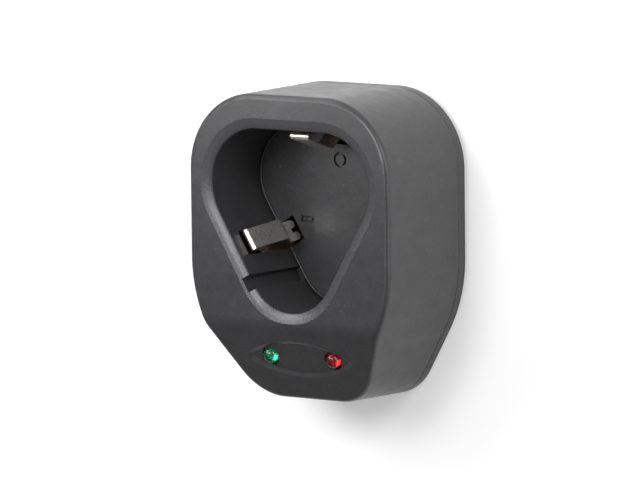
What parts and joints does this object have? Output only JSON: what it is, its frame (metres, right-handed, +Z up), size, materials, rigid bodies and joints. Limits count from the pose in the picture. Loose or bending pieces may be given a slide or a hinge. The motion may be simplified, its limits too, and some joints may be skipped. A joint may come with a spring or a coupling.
{
  "type": "battery charging cup",
  "caption": "Charging cup for a stem-shaped tool battery: shield-shaped shell, deep pocket with spring contacts, sloping lamp panel.",
  "frame": {"origin": "on the surface the rubber feet stand on, under the middle of the body's length and width", "axes": "+Z up, out of the battery pocket; +Y towards the wide end; the sloping lamp panel and the power inlet are at the -Y end; +X to the right seen from the lamp end"},
  "size_m": [0.0682, 0.0854, 0.0371],
  "materials": {
    "shell_plastic": "matte",
    "cover_plastic": "matte",
    "floor_plastic": "matte",
    "block_plastic": "matte",
    "nickel_strip": "satin",
    "bronze_strip": "satin",
    "brass": "satin",
    "green_lens": "gloss",
    "red_lens": "gloss",
    "tinned_wire": "satin",
    "board_laminate": "satin",
    "capacitor_sleeve": "satin",
    "component_black": "matte",
    "resistor_body": "satin",
    "plug_nylon": "satin",
    "inlet_nickel": "satin",
    "wire_black": "satin",
    "wire_red": "satin",
    "wire_yellow": "satin",
    "screw_steel": "satin",
    "foot_rubber": "matte"
  },
  "bodies": {
    "housing": {"front_shell": "shell_plastic", "back_cover": "cover_plastic", "pocket_floor": "floor_plastic", "contact_leg_left": "bronze_strip", "contact_leg_right": "bronze_strip", "contact_leg_top": "bronze_strip", "contact_block_left": "block_plastic", "contact_block_right": "block_plastic", "contact_block_top": "block_plastic", "contact_rivets": "brass", "green_lamp": "green_lens", "red_lamp": "red_lens", "green_lamp_leads": "tinned_wire", "red_lamp_leads": "tinned_wire", "circuit_board": "board_laminate", "smoothing_capacitor": "capacitor_sleeve", "power_transistor": "component_black", "controller_chip": "component_black", "rectifier_diodes": "component_black", "resistors": "resistor_body", "contact_plug": "plug_nylon", "inlet_housing": "block_plastic", "inlet_pin": "inlet_nickel", "wire_left": "wire_black", "wire_right": "wire_red", "wire_top": "wire_yellow", "cover_screws": "screw_steel", "board_screws": "screw_steel", "rubber_feet": "foot_rubber"},
    "left_contact": {"contact_leaf_left": "nickel_strip"},
    "right_contact": {"contact_leaf_right": "nickel_strip"},
    "top_contact": {"contact_leaf_top": "nickel_strip"},
    "inlet_spring_leaf": {"inlet_spring": "inlet_nickel"}
  },
  "joints": [
    {"name": "left_contact_flex", "type": "hinge", "parent": "housing", "child": "left_contact", "pos_m": [-0.01763, 0.00101, 0.03035], "axis": [-0.5311, 0.8473, 0], "range_deg": [0, 12], "stiffness_Nm_per_rad": 0.12},
    {"name": "right_contact_flex", "type": "hinge", "parent": "housing", "child": "right_contact", "pos_m": [0.01763, 0.00101, 0.03035], "axis": [-0.5311, -0.8473, 0], "range_deg": [0, 12], "stiffness_Nm_per_rad": 0.12},
    {"name": "top_contact_flex", "type": "hinge", "parent": "housing", "child": "top_contact", "pos_m": [0, 0.03055, 0.03035], "axis": [1, 0, 0], "range_deg": [0, 12], "stiffness_Nm_per_rad": 0.12},
    {"name": "inlet_spring_flex", "type": "hinge", "parent": "housing", "child": "inlet_spring_leaf", "pos_m": [0, -0.0292, 0.00995], "axis": [1, 0, 0], "range_deg": [0, 2.5], "stiffness_Nm_per_rad": 0.25}
  ]
}
